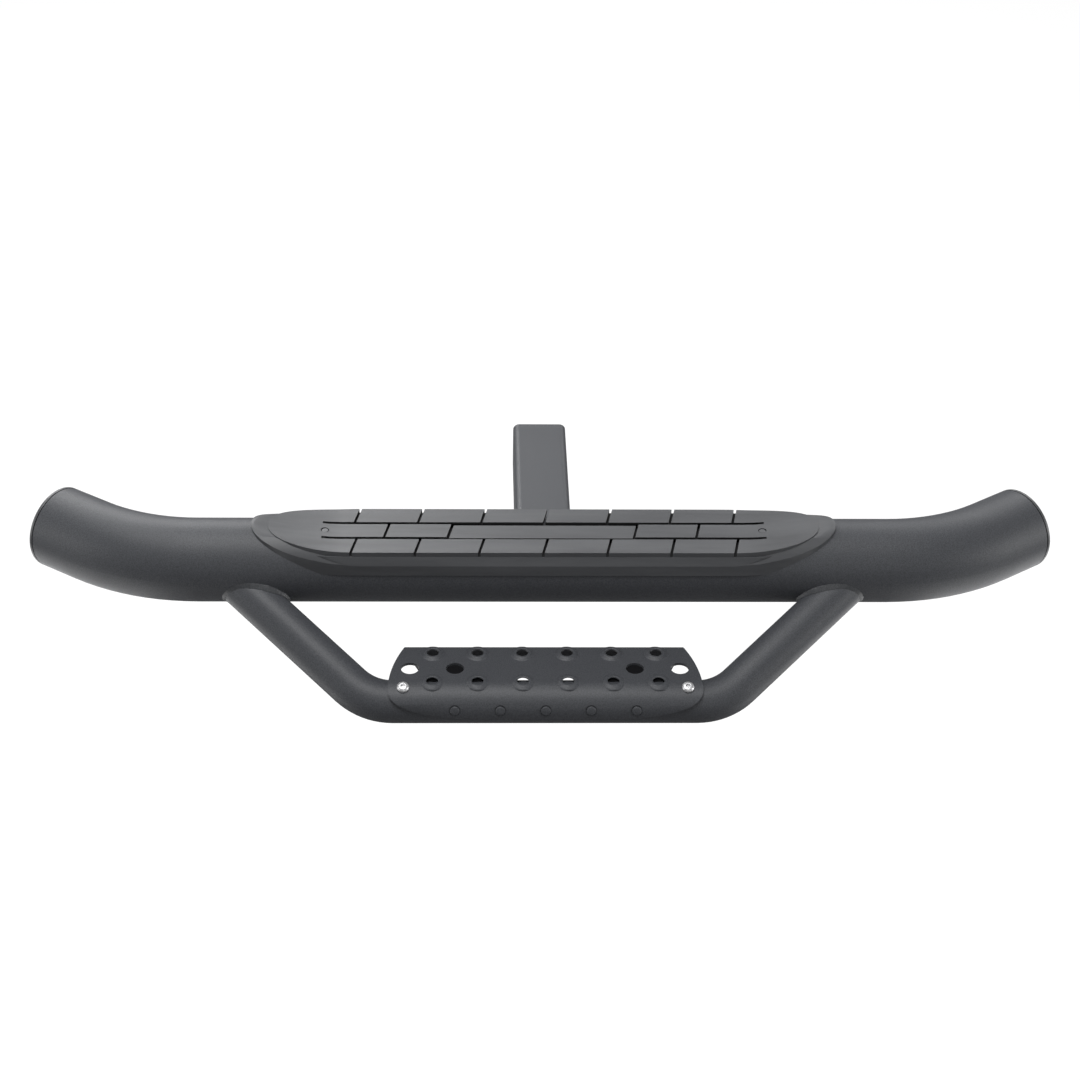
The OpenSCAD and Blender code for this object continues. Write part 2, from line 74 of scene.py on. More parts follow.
def done():
    bpy.ops.object.mode_set(mode="OBJECT")


def pickVerts(piece, test):
    bpy.ops.mesh.select_mode(type="VERT")
    bpy.ops.mesh.select_all(action="DESELECT")
    shape = bmesh.from_edit_mesh(piece.data)
    for v in shape.verts:
        v.select = test(v.co)
    shape.select_flush(True)
    bmesh.update_edit_mesh(piece.data)


def pickEdges(piece, test):
    bpy.ops.mesh.select_mode(type="EDGE")
    bpy.ops.mesh.select_all(action="DESELECT")
    shape = bmesh.from_edit_mesh(piece.data)
    for e in shape.edges:
        e.select = all(test(v.co) for v in e.verts)
    bmesh.update_edit_mesh(piece.data)


def outward(piece):
    edit(piece)
    bpy.ops.mesh.remove_doubles(threshold=0.002 * mm)
    bpy.ops.mesh.normals_make_consistent(inside=False)
    done()


def place(piece, matrix):
    take(piece)
    piece.matrix_world = matrix
    bpy.ops.object.transform_apply(location=True, rotation=True, scale=True)
    return piece


def drawLine(name, points):  # one vertex, extruded from point to point
    deselect()
    bpy.ops.mesh.primitive_plane_add(size=mm)
    piece = bpy.context.object
    piece.name = name
    edit(piece)
    bpy.ops.mesh.select_mode(type="VERT")
    bpy.ops.mesh.merge(type="CENTER")
    here = Vector(points[0])
    bpy.ops.transform.translate(value=here)
    for point in points[1:]:
        step = Vector(point) - here
        bpy.ops.mesh.extrude_region_move(TRANSFORM_OT_translate={"value": step})
        here = Vector(point)
    done()
    return piece


def closeLine(piece):
    edit(piece)
    bpy.ops.mesh.remove_doubles(threshold=0.001 * mm)
    bpy.ops.mesh.select_all(action="SELECT")


def lathe(name, profile, steps=64, closed=False):  # profile of (radius, height) about z
    line = [(r * mm, 0, z * mm) for r, z in profile]
    if closed:
        line.append(line[0])
    piece = drawLine(name, line)
    closeLine(piece)
    bpy.ops.mesh.spin(steps=steps, angle=2 * math.pi, center=(0, 0, 0), axis=(0, 0, 1))
    done()
    outward(piece)
    return piece


def slab(name, outline, along):  # a closed outline, filled and pushed along
    piece = drawLine(name, outline + outline[:1])
    closeLine(piece)
    bpy.ops.mesh.edge_face_add()
    bpy.ops.mesh.extrude_region_move(TRANSFORM_OT_translate={"value": along})
    done()
    outward(piece)
    return piece


def prism(name, points, length):  # points of (y, z), drawn along x, centred
    outline = [(-length * mm / 2, y * mm, z * mm) for y, z in points]
    return slab(name, outline, (length * mm, 0, 0))


def rod(name, radius, length, matrix, steps=96):
    # a cylinder that starts at the matrix's origin and runs along its z
    deselect()
    bpy.ops.mesh.primitive_cylinder_add(vertices=steps, radius=radius * mm, depth=length * mm)
    piece = bpy.context.object
    piece.name = name
    return place(piece, matrix @ Matrix.Translation((0, 0, length * mm / 2)))


def block(name, low, high):
    deselect()
    bpy.ops.mesh.primitive_cube_add(size=1)
    piece = bpy.context.object
    piece.name = name
    low, high = Vector(low) * mm, Vector(high) * mm
    size = high - low
    return place(piece, Matrix.Translation((low + high) / 2) @ Matrix.Diagonal((*size, 1)))


def boolean(piece, tool, how="DIFFERENCE"):
    change = piece.modifiers.new("boolean", "BOOLEAN")
    change.operation = how
    change.solver = "EXACT"
    change.object = tool
    take(piece)
    bpy.ops.object.modifier_apply(modifier=change.name)
    bpy.data.objects.remove(tool)


def shadeBelow(piece, angle):  # edges flatter than the angle are shaded smooth
    take(piece)
    bpy.ops.object.shade_smooth_by_angle(angle=math.radians(angle))


def soften(piece, width, bevelAngle, smoothAngle):
    bevel = piece.modifiers.new("bevel", "BEVEL")
    bevel.width = width * mm
    bevel.segments = 2
    bevel.limit_method = "ANGLE"
    bevel.angle_limit = math.radians(bevelAngle)
    bevel.use_clamp_overlap = True
    take(piece)
    bpy.ops.object.modifier_apply(modifier=bevel.name)
    shadeBelow(piece, smoothAngle)
    # keeps the broad faces flat beside their bevels
    flatten = piece.modifiers.new("flatten", "WEIGHTED_NORMAL")
    flatten.keep_sharp = True
    flatten.weight = 90
    bpy.ops.object.modifier_apply(modifier=flatten.name)


def join(pieces, name):
    deselect()
    for piece in pieces:
        piece.select_set(True)
    bpy.context.view_layer.objects.active = pieces[0]
    bpy.ops.object.join()
    pieces[0].name = name
    return pieces[0]


def copyTo(piece, matrix):
    twin = piece.copy()
    twin.data = piece.data.copy()
    bpy.context.scene.collection.objects.link(twin)
    return place(twin, matrix)


def wear(piece, *materials):
    piece.data.materials.clear()
    for material in materials:
        piece.data.materials.append(material)


def paint(piece, index):  # tread rubber and the rubber painted with the recesses' shade, with every face in one of them
    wear(piece, treadRubber, shadePaintedRubber)
    for face in piece.data.polygons:
        face.material_index = index


def finishPiece(piece, slot, *standsFor):
    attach(piece, "root")
    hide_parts(*standsFor)
    print("piece done:", piece.name, len(piece.data.polygons), "faces")


alongX = Matrix.Rotation(math.pi / 2, 4, "Y")
atTube = Matrix.Translation((0, tubeY, 0))
atRun = Matrix.Translation((0, runY, runZ))
sides = ((-1, "left"), (1, "right"))


# finishes

def newMaterial(name):
    material = bpy.data.materials.new(name)
    material.use_nodes = True
    return material, material.node_tree.nodes, material.node_tree.links


def objectNoise(tree, links, where, scale, detail, rough):
    noise = tree.new("ShaderNodeTexNoise")
    noise.inputs["Scale"].default_value = scale
    noise.inputs["Detail"].default_value = detail
    noise.inputs["Roughness"].default_value = rough
    links.new(where, noise.inputs["Vector"])
    return noise.outputs["Fac"]


def toneRange(tree, links, shader, source, dark, light):
    node = tree.new("ShaderNodeValToRGB")
    node.color_ramp.elements[0].position = 0.35
    node.color_ramp.elements[0].color = (*dark, 1)
    node.color_ramp.elements[1].position = 0.65
    node.color_ramp.elements[1].color = (*light, 1)
    links.new(source, node.inputs["Fac"])
    links.new(node.outputs["Color"], shader.inputs["Base Color"])


def roughRange(tree, links, shader, source, low, high):
    node = tree.new("ShaderNodeMapRange")
    node.inputs["To Min"].default_value = low
    node.inputs["To Max"].default_value = high
    links.new(source, node.inputs["Value"])
    links.new(node.outputs["Result"], shader.inputs["Roughness"])


def bumpChain(tree, links, shader, layers):  # layers of (height, strength, distance in mm)
    last = None
    for height, strength, distance in layers:
        bump = tree.new("ShaderNodeBump")
        bump.inputs["Strength"].default_value = strength
        bump.inputs["Distance"].default_value = distance * mm
        links.new(height, bump.inputs["Height"])
        if last:
            links.new(last.outputs["Normal"], bump.inputs["Normal"])
        last = bump
    links.new(last.outputs["Normal"], shader.inputs["Normal"])


def coatedSteel(name, dark, light, roughLow, roughHigh, grain=1100, shine=0.5):
    # textured powder coat: fine speckle over a soft orange peel
    material, tree, links = newMaterial(name)
    shader = tree["Principled BSDF"]
    where = tree.new("ShaderNodeTexCoord").outputs["Object"]
    speckle = objectNoise(tree, links, where, grain, 2.0, 0.6)
    peel = objectNoise(tree, links, where, grain * 0.32, 2.0, 0.5)
    cloud = objectNoise(tree, links, where, 18, 3.0, 0.5)
    toneRange(tree, links, shader, speckle, dark, light)
    roughRange(tree, links, shader, cloud, roughLow, roughHigh)
    bumpChain(tree, links, shader, [(peel, 0.3, 0.12), (speckle, 0.5, 0.06)])
    shader.inputs["Specular IOR Level"].default_value = shine
    return material


def mouldedRubber(name, dark, light, roughLow, roughHigh, bump=0.35):
    # fine moulded grain, with dust in streaks along x
    material, tree, links = newMaterial(name)
    shader = tree["Principled BSDF"]
    where = tree.new("ShaderNodeTexCoord").outputs["Object"]
    stretch = tree.new("ShaderNodeMapping")
    stretch.inputs["Scale"].default_value = (0.12, 1, 1)
    links.new(where, stretch.inputs["Vector"])
    grain = objectNoise(tree, links, where, 1500, 3.0, 0.6)
    dust = objectNoise(tree, links, stretch.outputs["Vector"], 60, 5.0, 0.6)
    toneRange(tree, links, shader, dust, dark, light)
    roughRange(tree, links, shader, dust, roughLow, roughHigh)
    bumpChain(tree, links, shader, [(grain, bump, 0.05)])
    shader.inputs["Specular IOR Level"].default_value = 0.5
    return material


def brightSteel(name):
    material, tree, links = newMaterial(name)
    shader = tree["Principled BSDF"]
    where = tree.new("ShaderNodeTexCoord").outputs["Object"]
    brushed = objectNoise(tree, links, where, 900, 4.0, 0.6)
    toneRange(tree, links, shader, brushed, (0.72, 0.72, 0.73), (0.86, 0.86, 0.87))
    roughRange(tree, links, shader, brushed, 0.38, 0.48)
    bumpChain(tree, links, shader, [(brushed, 0.15, 0.02)])
    shader.inputs["Metallic"].default_value = 0.85
    return material


blackCoat = coatedSteel("black powder coat", (0.043, 0.045, 0.051), (0.075, 0.079, 0.088), 0.46, 0.58)
weldCoat = coatedSteel("coated weld", (0.042, 0.044, 0.048), (0.068, 0.071, 0.077), 0.36, 0.46, grain=900)
# near-black, low-shine coat for the brackets under the plate: painted shade, so that the drain holes look
# dark
shadePaintedCoat = coatedSteel("coat painted with shade", (0.004, 0.004, 0.005), (0.008, 0.008, 0.009), 0.6, 0.75, shine=0.12)
treadRubber = mouldedRubber("tread rubber", (0.062, 0.064, 0.069), (0.086, 0.089, 0.095), 0.4, 0.48)
# near-black rubber for the grooves, joints, pin holes and the caps' seams: painted shade in these recesses,
# not a different rubber
shadePaintedRubber = mouldedRubber("rubber painted with shade", (0.006, 0.006, 0.007), (0.01, 0.01, 0.011), 0.75, 0.85)
capPlastic = mouldedRubber("black plastic", (0.085, 0.087, 0.092), (0.1, 0.102, 0.108), 0.3, 0.4, 0.25)
stainless = brightSteel("stainless steel")
print("finishes ready")

# the nodes that are shown as they are
for name in ("main_tube", "drop_tube", "shank"):
    wear(nodes[name], blackCoat)
for side, word in sides:
    # the brackets wear the near-black coat: painted shade seen through the plate's holes
    wear(nodes[word + "_plate_bracket"], shadePaintedCoat)
    wear(nodes[word + "_bracket_weld"], weldCoat)
    wear(nodes[word + "_rivet_nut"], stainless)
    wear(nodes[word + "_pad_pin"], treadRubber)


# tread

tread = {
    "half": 263, "width": 38.8, "taper": 105, "fullness": 2.4,  # half length, half width, rounded ends
    "blockInset": 15, "blockWidth": 35.5, "shoulderInset": 29, "shoulderDrop": 4.4,
    "flat": 27.1, "flatInset": 58, "ramp": 53, "flatDepth": 11,  # the flat in the tube's top
    "rise": 4.9, "rim": 2.7, "skirt": 9.5, "crease": 19.5,
    "tipRise": 1.3, "tipRun": 22, "tipCurve": 1.6, "tipSteps": 16,  # the blocks' ends rise on a curve
    "groove": 3.3, "grooveDepth": 4.2, "grooveY": 12, "grooveInset": 63, "grooveRun": 12,
    "joint": 2.4, "pitch": 57.15, "lean": 11.3, "frontShift": 3.2,
    "middleJoints": (-142, -84.9, 82.7, 139),  # as the photo shows them, not quite even
    "field": 1.3, "pinInset": 65.5, "pinHole": 7.4, "pinDepth": 1.4, "notch": 57.6,
    "over": 60, "cutterHeight": 9,  # over is higher than all of the tread
}
levelEnd = tread["half"] - tread["flatInset"]


def ovalColumn(name, halfLength, halfWidth, steps=160):
    # a circle whose halves are moved apart, then raised to a column
    t = tread
    straight = (t["half"] - t["taper"]) * mm
    taper = halfLength * mm - straight
    deselect()
    bpy.ops.mesh.primitive_circle_add(vertices=steps, radius=1, fill_type="NGON")
    piece = bpy.context.object
    piece.name = name
    edit(piece)
    bpy.ops.transform.rotate(value=math.pi / steps, orient_axis="Z", center_override=(0, 0, 0))
    power = 2 / t["fullness"]  # the rounded ends are fuller than an ellipse
    outline = bmesh.from_edit_mesh(piece.data)
    for v in outline.verts:
        v.co.x = math.copysign(abs(v.co.x) ** power, v.co.x)
        v.co.y = math.copysign(abs(v.co.y) ** power, v.co.y)
    bmesh.update_edit_mesh(piece.data)
    bpy.ops.transform.resize(value=(taper, halfWidth * mm, 1), center_override=(0, 0, 0))
    pickVerts(piece, lambda c: c.x > 0)
    bpy.ops.transform.translate(value=(straight, 0, 0))
    pickVerts(piece, lambda c: c.x < 0)
    bpy.ops.transform.translate(value=(-straight, 0, 0))
    bpy.ops.mesh.select_all(action="SELECT")
    bpy.ops.transform.translate(value=(0, 0, t["skirt"] * mm))
    height = (t["over"] - t["skirt"]) * mm
    bpy.ops.mesh.extrude_region_move(TRANSFORM_OT_translate={"value": (0, 0, height)})
    done()
    outward(piece)
    return piece


def overLine(name, levelZ, endX, farX, farZ, y0=-60, y1=60, curve=1.0, steps=1):
    # all that lies over a line, which is level up to endX and then rises to farX, farZ
    top = 95
    rise = []
    for k in range(steps + 1):
        x = endX + (farX - endX) * k / steps
        rise.append((x, levelZ + (farZ - levelZ) * (k / steps) ** curve))
    line = [(-x, z) for x, z in rise[::-1]] + rise + [(farX, top), (-farX, top)]
    outline = [(x * mm, y0 * mm, z * mm) for x, z in line]
    return slab(name, outline, (0, (y1 - y0) * mm, 0))


def overFlat(name, lower):  # twice the tube's own ramp, so that it clears the tube's top
    t = tread
    z = t["flat"] - lower
    return overLine(name, z, levelEnd, levelEnd + 2 * t["ramp"], z + 2 * t["flatDepth"])


def narrowingRod(name, radius, tipRadius, halfLength):
    half = [(tipRadius, halfLength), (0, halfLength)]
    mirrored = [(r, -z) for r, z in half[::-1]]
    piece = lathe(name, mirrored + [(radius, -levelEnd), (radius, levelEnd)] + half, 256)
    return place(piece, alongX)


def treadBody():
    t = tread
    half, wide = t["half"], t["width"]
    top = t["flat"] + t["rise"]
    tubeMm = tubeR / mm
    creaseR = math.hypot(wide, t["crease"])
    rim = ovalColumn("rim", half, wide)
    boolean(rim, narrowingRod("rimBound", creaseR, tubeMm + t["rim"], half + 0.5), "INTERSECT")
    boolean(rim, overFlat("overRim", -t["rim"]))
    shoulder = ovalColumn("shoulder", half - t["shoulderInset"], wide)
    footY, footZ = t["blockWidth"] + 0.4, top - t["shoulderDrop"]
    boolean(shoulder, prism("shoulderBound", [
        (-wide, t["skirt"]), (-wide, t["crease"]), (-footY, footZ),
        (footY, footZ), (wide, t["crease"]), (wide, t["skirt"])], 2 * half), "INTERSECT")
    tip = half - t["blockInset"]
    tipTop = tubeMm + t["tipRise"]
    edgeR = math.hypot(t["blockWidth"], top) + t["tipRise"]
    blocks = ovalColumn("blocks", tip, t["blockWidth"])
    boolean(blocks, narrowingRod("blockBound", edgeR, tipTop + t["rim"], tip + 0.5), "INTERSECT")
    boolean(blocks, overLine("overBlocks", top, levelEnd - t["tipRun"], tip + 0.5, tipTop,
                             curve=t["tipCurve"], steps=t["tipSteps"]))
    boolean(rim, shoulder, "UNION")
    boolean(rim, blocks, "UNION")
    # room for the tube
    tubeStart = Matrix.Translation((-(half + 10) * mm, 0, 0)) @ alongX
    tube = rod("tube", tubeMm, 2 * half + 20, tubeStart, 256)
    boolean(tube, overFlat("overFlat", 0))
    boolean(rim, tube)
    return rim


def grooveCutters():  # the two long grooves, then the leaning joints of the three rows
    t = tread
    top = t["flat"] + t["rise"]
    floor = top - t["grooveDepth"]
    g, j, gy = t["groove"] / 2, t["joint"] / 2, t["grooveY"]
    end = t["half"] - t["grooveInset"]
    lean = Matrix.Rotation(math.radians(-t["lean"]), 4, "Z")
    cutters = []
    for y in (-gy, gy):
        cutters.append(overLine("groove", floor, end - t["grooveRun"], end + 0.1, top + 0.05, y - g, y + g))

    def joint(x, y, y0, y1):
        cutter = block("joint", (-j, y0, floor), (j, y1, floor + t["cutterHeight"]))
        cutters.append(place(cutter, Matrix.Translation((x * mm, y * mm, 0)) @ lean))

    past = t["blockWidth"] + 1
    for k in range(-3, 4):
        joint(k * t["pitch"] + t["frontShift"], -gy, -past, 0)
        joint(k * t["pitch"], gy, 0, past)
    for x in t["middleJoints"]:
        joint(x, 0, -gy, gy)
    return cutters


def makeTread():
    t = tread
    top = t["flat"] + t["rise"]
    height = t["cutterHeight"]
    pad = treadBody()
    paint(pad, 0)
    for cutter in grooveCutters():
        # the cutters carry the near-black rubber into the grooves and joints they cut: painted shade
        paint(cutter, 1)
        boolean(pad, cutter)
    # the bare field in the middle row
    left, right = t["middleJoints"][1:3]
    gy = t["grooveY"]
    shift = gy * math.tan(math.radians(t["lean"]))
    corners = [(left - shift, -gy), (right - shift, -gy), (right + shift, gy), (left + shift, gy)]
    field = [(x * mm, y * mm, (top - t["field"]) * mm) for x, y in corners]
    boolean(pad, slab("field", field, (0, 0, height * mm)))
    n = t["notch"] / 2
    boolean(pad, block("notch", (-n, 0, 0), (n, 60, n)))
    for side, word in sides:
        spot = (side * (t["half"] - t["pinInset"]) * mm, 0, (top - t["pinDepth"]) * mm)
        hole = rod("pinHole", t["pinHole"] / 2, height, Matrix.Translation(spot), 32)
        # the pin holes get the near-black rubber too: painted shade
        paint(hole, 1)
        boolean(pad, hole)
    edit(pad)
    bpy.ops.mesh.dissolve_limited(angle_limit=math.radians(0.5))
    done()
    place(pad, atTube)
    outward(pad)
    soften(pad, 0.6, 30, 40)
    pad.name = "treadPad"
    finishPiece(pad, "black_rubber", "tread_pad")


makeTread()


# step plate

plate = {
    "sheet": 2.5, "half": 139, "depth": 53, "sideR": 146, "bowY": -10,
    "gap": 0.6, "foldR": 3, "fold": 12, "roll": 100, "edgeHalf": 39, "cornerAngle": 15,
    "pitch": 40, "gripHole": 10, "gripFoot": 19, "gripRise": 2.4,
    "rowFront": 1, "rowRear": 41, "rowDrain": 19.5, "drain": 16,
    "pip": 8.6, "pipRise": 1.5, "pipAngle": 73,
}
screws = {
    "x": 125.5, "lean": 18, "hole": 7.2,
    "head": 11.2, "height": 3.3, "shank": 6, "length": 16, "socket": 4,
}
rollOut = dropR / mm + plate["gap"] + plate["sheet"]


def screwFrame(side):
    lean = Matrix.Rotation(math.radians(screws["lean"]), 4, "X")
    return atRun @ Matrix.Translation((side * screws["x"] * mm, 0, 0)) @ lean


def foldedSheet():  # the flat, the rolled front and the rear fold, then the sheet's thickness
    p = plate
    rear = p["depth"] - p["foldR"]
    foldZ = rollOut - p["foldR"]
    near = 0.01 * mm
    deselect()
    bpy.ops.mesh.primitive_plane_add(size=1)
    sheet = bpy.context.object
    sheet.name = "stepPlate"
    edit(sheet)
    size = ((2 * p["half"] + 4) * mm, rear * mm, 1)
    bpy.ops.transform.resize(value=size, center_override=(0, 0, 0))
    bpy.ops.transform.translate(value=(0, rear / 2 * mm, rollOut * mm))
    pickEdges(sheet, lambda c: abs(c.y) < near)
    bpy.ops.mesh.spin(steps=50, angle=-math.radians(p["roll"]), center=(0, 0, 0),
                      axis=(1, 0, 0), use_auto_merge=False)
    pickEdges(sheet, lambda c: abs(c.y - rear * mm) < near and c.z > 0)
    bpy.ops.mesh.spin(steps=8, angle=math.pi / 2, center=(0, rear * mm, foldZ * mm),
                      axis=(1, 0, 0), use_auto_merge=False)
    pickEdges(sheet, lambda c: c.y > p["depth"] * mm - near and c.z < foldZ * mm + near)
    down = (0, 0, -(p["fold"] - p["foldR"]) * mm)
    bpy.ops.mesh.extrude_region_move(TRANSFORM_OT_translate={"value": down})
    done()
    edit(sheet)
    bpy.ops.mesh.remove_doubles(threshold=near)
    bpy.ops.mesh.normals_make_consistent(inside=False)
    done()
    flat = max(sheet.data.polygons, key=lambda f: f.area)
    if flat.normal.z < 0:
        edit(sheet)
        bpy.ops.mesh.flip_normals()
        done()
    wall = sheet.modifiers.new("wall", "SOLIDIFY")
    wall.thickness = p["sheet"] * mm
    wall.offset = -1
    take(sheet)
    bpy.ops.object.modifier_apply(modifier=wall.name)
    return sheet


def trimSheet(sheet):  # the bowed sides, then the roll's rounded lower corners
    p = plate
    for side, word in sides:
        spot = (-side * (p["sideR"] - p["half"]) * mm, p["bowY"] * mm, -60 * mm)
        boolean(sheet, rod("bow", p["sideR"], 120, Matrix.Translation(spot), 360), "INTERSECT")
    lowZ = rollOut * math.cos(math.radians(p["roll"]))
    topZ = rollOut * math.cos(math.radians(p["cornerAngle"]))
    steps = 24
    reach, past = p["half"] + 0.1 - p["edgeHalf"], 9
    corner = []
    for i in range(steps + 1):
        a = math.radians(90 * i / steps)
        corner.append((p["edgeHalf"] + reach * math.sin(a), topZ - (topZ - lowZ) * math.cos(a)))
    corner += [(p["half"] + past, topZ), (p["half"] + past, lowZ - past), (p["edgeHalf"], lowZ - past)]
    for side, word in sides:
        outline = [(side * x * mm, -90 * mm, z * mm) for x, z in corner]
        boolean(sheet, slab("corner", outline, (0, 90 * mm, 0)))


def drillSheet(sheet, gripSpots):
    p = plate

    def drill(x, y, radius, steps):
        spot = Matrix.Translation((x * mm, y * mm, (rollOut - 8) * mm))
        boolean(sheet, rod("hole", radius, 20, spot, steps))

    for x, y in gripSpots:
        drill(x, y, p["gripFoot"] / 2 - 1, 64)
    for k in (-3, -2, 2, 3):
        drill(k * p["pitch"], p["rowDrain"], p["drain"] / 2, 64)
    for side, word in sides:
        boolean(sheet, rod("hole", screws["hole"] / 2, 40, atRun.inverted() @ screwFrame(side), 48))


def gripProfile(foot, hole, rise, lip):  # from the foot in the sheet, over the rim, into the hole
    slope = foot + 0.7
    span = foot - hole - 0.9
    line = [(foot + 2.4, -1.6), (foot + 1.4, -0.45), (slope, -0.06)]
    for k in range(1, 7):
        f = k / 6
        line.append((slope - span * f, rise * (0.5 - 0.5 * math.cos(math.pi * f)) * 0.97))
    line += [(hole + 0.9, rise), (hole + 0.35, rise - 0.1), (hole, rise - 0.5), (hole, rise - lip)]
    return line + [(hole + 0.7, rise - lip - 0.3), (foot - 1.2, -2.3)]


def gripRims(gripSpots):  # pressed up round each hole, lower in the front row
    p = plate
    foot, hole, rise = p["gripFoot"] / 2, p["gripHole"] / 2, p["gripRise"]
    rows = (
        (p["rowRear"], gripProfile(foot + 0.6, hole + 0.3, rise - 0.4, 1.7)),
        (p["rowFront"], gripProfile(foot - 0.4, hole + 0.2, rise * 0.4, 1.4)),
    )
    rims = []
    for row, line in rows:
        rim = lathe("gripRim", line, 64, True)
        for x, y in gripSpots:
            if y == row:
                rims.append(copyTo(rim, Matrix.Translation((x * mm, y * mm, rollOut * mm))))
        bpy.data.objects.remove(rim)
    return rims


def pressPips(sheet):  # pips on the rolled front, each in a narrow pressed ring
    p = plate
    r, rise = p["pip"] / 2, p["pipRise"]
    turn = Matrix.Rotation(math.radians(p["pipAngle"]), 4, "X")
    spots = []
    for k in range(-2, 3):
        along = Matrix.Translation((k * p["pitch"] * mm, 0, 0))
        spots.append(along @ turn @ Matrix.Translation((0, 0, rollOut * mm)))
    for spot in spots:
        ring = lathe("ring", [(r - 0.9, -1.3), (r + 0.6, -1.3), (r + 0.6, 2), (r - 0.9, 2)], 48, True)
        boolean(sheet, place(ring, spot))
    pip = lathe("pip", [
        (0, rise), (r * 0.68, rise - 0.05), (r * 0.92, rise - 0.3), (r - 0.1, rise - 0.7),
        (r - 0.6, -0.2), (r - 0.6, -1.4), (0, -1.4)], 48)
    pips = [copyTo(pip, spot) for spot in spots]
    bpy.data.objects.remove(pip)
    return pips


def makePlate():
    p = plate
    gripSpots = [((k - 2.5) * p["pitch"], row) for k in range(6) for row in (p["rowFront"], p["rowRear"])]
    sheet = foldedSheet()
    trimSheet(sheet)
    drillSheet(sheet, gripSpots)
    soften(sheet, 0.45, 34, 35)
    pressed = gripRims(gripSpots) + pressPips(sheet)
    for piece in pressed:
        shadeBelow(piece, 60)
    sheet = join([sheet] + pressed, "stepPlate")
    place(sheet, atRun)
    wear(sheet, blackCoat)
    finishPiece(sheet, "black_powder_coat", "step_plate")


makePlate()


# screws

def makeScrews():
    s = screws
    r, h, stem = s["head"] / 2, s["height"], s["shank"] / 2
    head = [
        (0, h), (r * 0.5, h - 0.05), (r * 0.68, h - 0.35), (r * 0.84, h - 0.95), (r * 0.95, h - 1.8),
        (r, h - 2.7), (r - 0.1, 0.08), (r - 0.3, 0), (stem, 0)]
    thread = []
    for z in range(1 - s["length"], -1):
        thread += [(stem - 0.45, z), (stem, z + 0.5)]
    end = [(stem - 0.8, -s["length"]), (0, -s["length"])]
    screw = lathe("plateScrew", head + thread[::-1] + end)
    socketR = s["socket"] / 2 / math.cos(math.pi / 6)
    boolean(screw, rod("socket", socketR, 9, Matrix.Translation((0, 0, h * 0.3 * mm)), 6))
    soften(screw, 0.12, 40, 35)
    for side, word in sides:
        seat = screwFrame(side) @ Matrix.Translation((0, 0, rollOut * mm))
        one = copyTo(screw, seat @ Matrix.Rotation(0.35 * side, 4, "Z"))
        one.name = word + "PlateScrew"
        wear(one, stainless)
        finishPiece(one, "stainless_steel", word + "_plate_screw")
    bpy.data.objects.remove(screw)


makeScrews()


# end caps

caps = {
    "half": 313, "bendR": 178, "bendAngle": 34, "end": 38.5,  # where the step tube ends
    "face": 3.9, "seam": 1.1, "seamDepth": 2, "plug": 20, "wall": 2.5, "tubeWall": 2.3, "gap": 0.2,
}


def makeCaps():
    c = caps
    r, face, seam = tubeR / mm, c["face"], c["seam"]
    plugR = r - c["tubeWall"] - c["gap"]
    seamR = r - c["seamDepth"]
    cap = lathe("cap", [
        (0, face), (r * 0.6, face - 0.04), (r - 1.2, face - 0.06), (r - 0.5, face - 0.14),
        (r - 0.15, face - 0.3), (r, face - 0.55), (r, seam), (r - 0.1, seam - 0.15),
        (seamR, seam - 0.2), (seamR - 0.1, 0.02), (plugR, 0), (plugR, 1 - c["plug"]),
        (plugR - 0.8, -c["plug"]), (plugR - c["wall"], -c["plug"]), (plugR - c["wall"], 0), (0, 0)], 128)
    wear(cap, capPlastic, shadePaintedRubber)
    for part in cap.data.polygons:  # the inside of the seam is painted near black: painted shade in the seam
        part.material_index = 1 if 0 < part.center.z < (seam - 0.12) * mm else 0
    shadeBelow(cap, 40)
    turn = math.radians(c["bendAngle"])
    endX = c["half"] + c["bendR"] * math.sin(turn) + c["end"] * math.cos(turn)
    endY = c["bendR"] * (1 - math.cos(turn)) + c["end"] * math.sin(turn)
    for side, word in sides:
        aim = Vector((side * math.cos(turn), math.sin(turn), 0)).to_track_quat("Z", "Y")
        seat = Matrix.Translation((side * endX * mm, endY * mm, 0)) @ aim.to_matrix().to_4x4()
        one = copyTo(cap, atTube @ seat)
        one.name = word + "EndCap"
        finishPiece(one, "black_plastic", word + "_end_cap")
    bpy.data.objects.remove(cap)


makeCaps()


# welds

welds = {
    "leg": 4.3, "shankLeg": 3.0, "ripple": 2.6, "rippleHeight": 0.014, "legSteps": 360,
    "footInset": 12.7, "dropBendR": 55, "dropHalf": 135, "dropReach": 136, "tilt": 57, "mainHalf": 313,
    "shankHalf": 25.4, "shankCorner": 6, "cornerSteps": 8, "flatSteps": 40,
}


